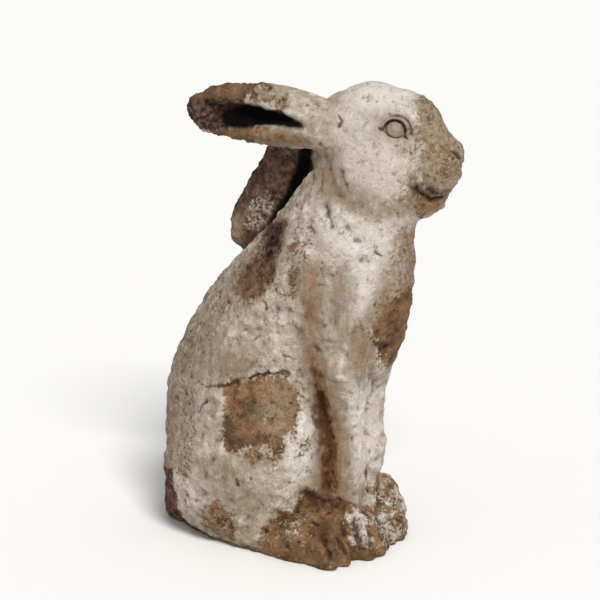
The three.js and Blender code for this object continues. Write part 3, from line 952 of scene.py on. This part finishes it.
# %% [markdown]
# Old paint and cement vary at many sizes at once, from the sand grain to the wet side of the
# statue. So the clouds come first, each with the size of its lumps in millimetres. One step
# then lays a colour over another one wherever a cloud, or one of the fields, is strong enough.

# %% Make the clouds
clouds = {}
for name, size_mm, detail, rough, drawn in [
    ("slow", 50, 3, 0.55, 1), ("olive", 38, 2, 0.55, 1), ("damp", 22, 5, 0.6, 1),
    ("blotch", 13, 6, 0.68, 1), ("rub", 9, 7, 0.7, 1), ("runs", 7, 5, 0.65, 3.3),
    ("chalk", 7, 4, 0.65, 1), ("ear", 6, 5, 0.65, 1), ("flecks", 4.2, 3, 0.6, 1),
    ("sand", 3.4, 5, 0.7, 1), ("pale_grains", 3.6, 4, 0.6, 1), ("dark_grains", 2.6, 3, 0.55, 1),
]:
    where = add("ShaderNodeMapping", i0=place, Scale=(1, 1, 1 / drawn))
    scale = 1 / (size_mm * mm)
    clouds[name] = add("ShaderNodeTexNoise", i0=where, Scale=scale, Detail=detail, Roughness=rough)


def lay(under, colour, cloud, start, end, most=1.0, within=1.0):
    """Lays a colour over what is under it, more of it as the cloud goes from start to end."""
    limits = {"i1": start, "i2": end, "i4": most}
    amount = add("ShaderNodeMapRange", {"interpolation_type": "SMOOTHSTEP"}, i0=cloud, **limits)
    if within != 1.0:
        amount = add("ShaderNodeMath", {"operation": "MULTIPLY"}, i0=amount, i1=within)
    over = linear(colour) if isinstance(colour, str) else colour
    return add("ShaderNodeMix", {"data_type": "RGBA"}, 2, i0=amount, i6=under, i7=over)


print("clouds", list(clouds))

# %% [markdown]
# Bare cement
#
# The cement is a warm brown that turns darker over a few centimetres, with a breath of green
# where algae live. Sand grains show as pale and dark specks, drawn coarser than real sand so
# that they show. The ears and the streak below the neck are damp. Where they are nearly black,
# in the ears' hollows, it is painted shade, as it is under the chest and the mouth, above the
# hind foot and along the bottom.

# %% Colour the cement
cement = lay(linear("#604530"), "#9e7957", clouds["damp"], 0.34, 0.62)
cement = lay(cement, "#756849", clouds["olive"], 0.54, 0.68, 0.28)
cement = lay(cement, "#6b4529", clouds["rub"], 0.52, 0.66, 0.4)
cement = lay(cement, "#b7a78c", clouds["chalk"], 0.3, 0.62, 0.9, fields["pale"])
cement = lay(cement, "#b9a184", clouds["pale_grains"], 0.56, 0.72, 0.4)
cement = lay(cement, "#35231a", clouds["dark_grains"], 0.54, 0.7, 0.6)
damp = lay(linear("#21140f"), "#93746c", clouds["ear"], 0.38, 0.66)
# The same dark cement is also laid as painted shade in the ears' hollows, under the chest and the mouth,
# above the hind foot and along the bottom.
cement = lay(cement, damp, fields["damp_and_shade"], 0, 1, 0.96)
print("cement takes", len(tree.nodes), "nodes so far")

# %% [markdown]
# Chalky paint
#
# The paint is brightest where rain keeps it clean, and painted light makes it brighter still on
# the head's top, the upper chest and the foreleg, and on the tops of lumps. Elsewhere it thins to
# a grey brown in blotches about 1 cm across, and brown water has stained it below the bare
# patches and along the folds: grey where there is little of it, then tan, then dark brown. The
# same colours are painted shade in the folds, under the cheek and the chest, between the legs
# and on the sides turned from the light. Small dark flecks are where a grain of sand has come
# through. Hair cracks run where a cloud is at its middle value, because that gives thin lines
# that branch, and clean paint has fewer of them.

# %% Colour the paint
paint = lay(linear("#ae9d8a"), "#cfc3b3", clouds["slow"], 0.36, 0.6)
paint = lay(paint, "#8a7562", clouds["blotch"], 0.48, 0.64, 0.55)
paint = lay(paint, "#ded5c9", clouds["rub"], 0.52, 0.64, 0.5)
# Clean paint, brighter also as painted light where the light falls.
paint = lay(paint, "#e4ddd2", fields["clean_and_lit"], 0, 1, 0.76)
paint = lay(paint, "#765f4b", clouds["rub"], 0.45, 0.33, 0.6)
# Painted highlight on the tops of lumps.
paint = lay(paint, "#eee8df", fields["lump_top_highlight"], 0.1, 1, 0.6)
patchy = add("ShaderNodeMapRange", i0=clouds["damp"], i1=0.42, i2=0.6)
paint = lay(paint, "#6b4f35", clouds["flecks"], 0.6, 0.7, 0.6, patchy)
ridge = add("ShaderNodeMath", {"operation": "SUBTRACT"}, i0=clouds["blotch"], i1=0.5)
ridge = add("ShaderNodeMath", {"operation": "ABSOLUTE"}, i0=ridge)
crazed = add("ShaderNodeMapRange", i0=clouds["slow"], i1=0.44, i2=0.56)
clean = add("ShaderNodeMapRange", i0=fields["clean_and_lit"], i3=1.0, i4=0.3)
crazed = add("ShaderNodeMath", {"operation": "MULTIPLY"}, i0=crazed, i1=clean)
paint = lay(paint, "#5d4633", ridge, 0.016, 0.004, 0.65, crazed)
# Stain colours, also laid as painted shade where the field carries it: grey, then tan, then dark brown.
run = add("ShaderNodeMapRange", i0=clouds["runs"], i1=0.3, i2=0.62, i3=0.55)
stain_and_shade_streaks = add("ShaderNodeMath", {"operation": "MULTIPLY"}, i0=fields["stain_and_shade"], i1=run)
paint = lay(paint, "#8c7863", stain_and_shade_streaks, 0, 0.6, 0.85)
paint = lay(paint, "#98683f", stain_and_shade_streaks, 0.42, 0.95, 0.85)
paint = lay(paint, "#4e2c16", stain_and_shade_streaks, 0.55, 1.05)
print("paint takes", len(tree.nodes), "nodes so far")

# %% [markdown]
# Where the film ends
#
# The stored fields are smooth, and a real flake's edge isn't. Sandy noise frays the edge before
# the paint is cut off there, and close to a bare patch the paint is thinner, so the cement
# browns it. Soil goes over both, because it came last, and painted shade in the hollows goes
# with it; the ears' deepest parts are painted black as shade.

# %% Lay the paint over the cement, and soil over both
fray = add("ShaderNodeMapRange", i0=clouds["sand"], i1=0.3, i2=0.7, i3=-0.26, i4=0.26)
worn_through = add("ShaderNodeMath", {"operation": "ADD"}, i0=fields["bare"], i1=fray)
gone = add("ShaderNodeMapRange", {"interpolation_type": "SMOOTHSTEP"}, i0=worn_through, i1=0.45, i2=0.55)
thinned = lay(paint, "#8d765b", worn_through, 0.22, 0.5, 0.6)
colour = lay(thinned, cement, gone, 0, 1)
# Soil and painted shade, in flecks.
darkening_spread = add("ShaderNodeMapRange", i0=clouds["flecks"], i1=0.3, i2=0.6, i3=0.6)
colour = lay(colour, "#472a15", fields["dirt_and_shade"], 0.05, 0.85, 0.88, darkening_spread)
# Painted shade: black in the ears' hollows and below the far ear.
colour = lay(colour, "#0a0403", fields["painted_black_shade"], 0, 0.9)
tree.links.new(colour, shader.inputs["Base Color"])
print("colour takes", len(tree.nodes), "nodes")

# %% [markdown]
# The relief finer than the net comes from bump: the step at the edge of the film, the brushed
# paint, and the sandy cement, which is the rougher of the two.

# %% Finish the surface
bump_mm = 2.3

grit = add("ShaderNodeMapRange", i0=gone, i3=1.3, i4=2.4)
sandy = add("ShaderNodeMath", {"operation": "MULTIPLY"}, i0=clouds["sand"], i1=grit)
brushed = add("ShaderNodeMath", {"operation": "MULTIPLY"}, i0=clouds["rub"], i1=1.5)
film_edge = add("ShaderNodeMath", {"operation": "MULTIPLY"}, i0=gone, i1=-0.5)
relief = add("ShaderNodeMath", {"operation": "ADD"}, i0=sandy, i1=brushed)
relief = add("ShaderNodeMath", {"operation": "ADD"}, i0=relief, i1=film_edge)
bump = add("ShaderNodeBump", Height=relief, Distance=bump_mm * mm, Strength=1.0)
tree.links.new(bump, shader.inputs["Normal"])
matt = add("ShaderNodeMapRange", i0=gone, i3=0.78, i4=0.95)
tree.links.new(matt, shader.inputs["Roughness"])
shader.inputs["Specular IOR Level"].default_value = 0.12
statue.data.materials.clear()
statue.data.materials.append(finish)
print("material", finish.name, "with", len(tree.nodes), "nodes")

# %% Hand the piece to the frame
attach(statue, "root")
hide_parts("rabbit")
print(statue.name, "stands for the rabbit")

# %% [markdown]
# The studio
#
# The photograph has a white ground and one soft light from above and the front right. A large
# pale floor, a pale world and one wide, far lamp give that, and light the floor evenly.

# %% Make the floor and the lamp
floor_mesh = bpy.data.meshes.new("studio_floor")
net = bmesh.new()
bmesh.ops.create_circle(net, cap_ends=True, segments=96, radius=6)
net.to_mesh(floor_mesh)
net.free()
floor = bpy.data.objects.new("studio_floor", floor_mesh)
bpy.context.scene.collection.objects.link(floor)

paper = bpy.data.materials.new("white_paper_sweep")
paper.use_nodes = True
paper.node_tree.nodes["Principled BSDF"].inputs["Base Color"].default_value = linear("#f2f1ee")
paper.node_tree.nodes["Principled BSDF"].inputs["Roughness"].default_value = 0.9
floor.data.materials.append(paper)

world = bpy.data.worlds.new("studio")
world.use_nodes = True
world.node_tree.nodes["Background"].inputs["Color"].default_value = linear("#ffffff")
world.node_tree.nodes["Background"].inputs["Strength"].default_value = 0.43
bpy.context.scene.world = world
bpy.context.scene.view_settings.view_transform = "Standard"


def lamp(name, towards, strength, softness_deg):
    """A wide, far lamp in a direction from the statue, with soft shadows."""
    light = bpy.data.lights.new(name, "SUN")
    light.energy = strength
    light.angle = math.radians(softness_deg)
    holder = bpy.data.objects.new(name, light)
    holder.rotation_mode = "QUATERNION"
    holder.rotation_quaternion = Vector(towards).to_track_quat("Z", "Y")
    bpy.context.scene.collection.objects.link(holder)


lamp("soft_key", towards=(1.3, -1.45, 1.9), strength=3.05, softness_deg=18)
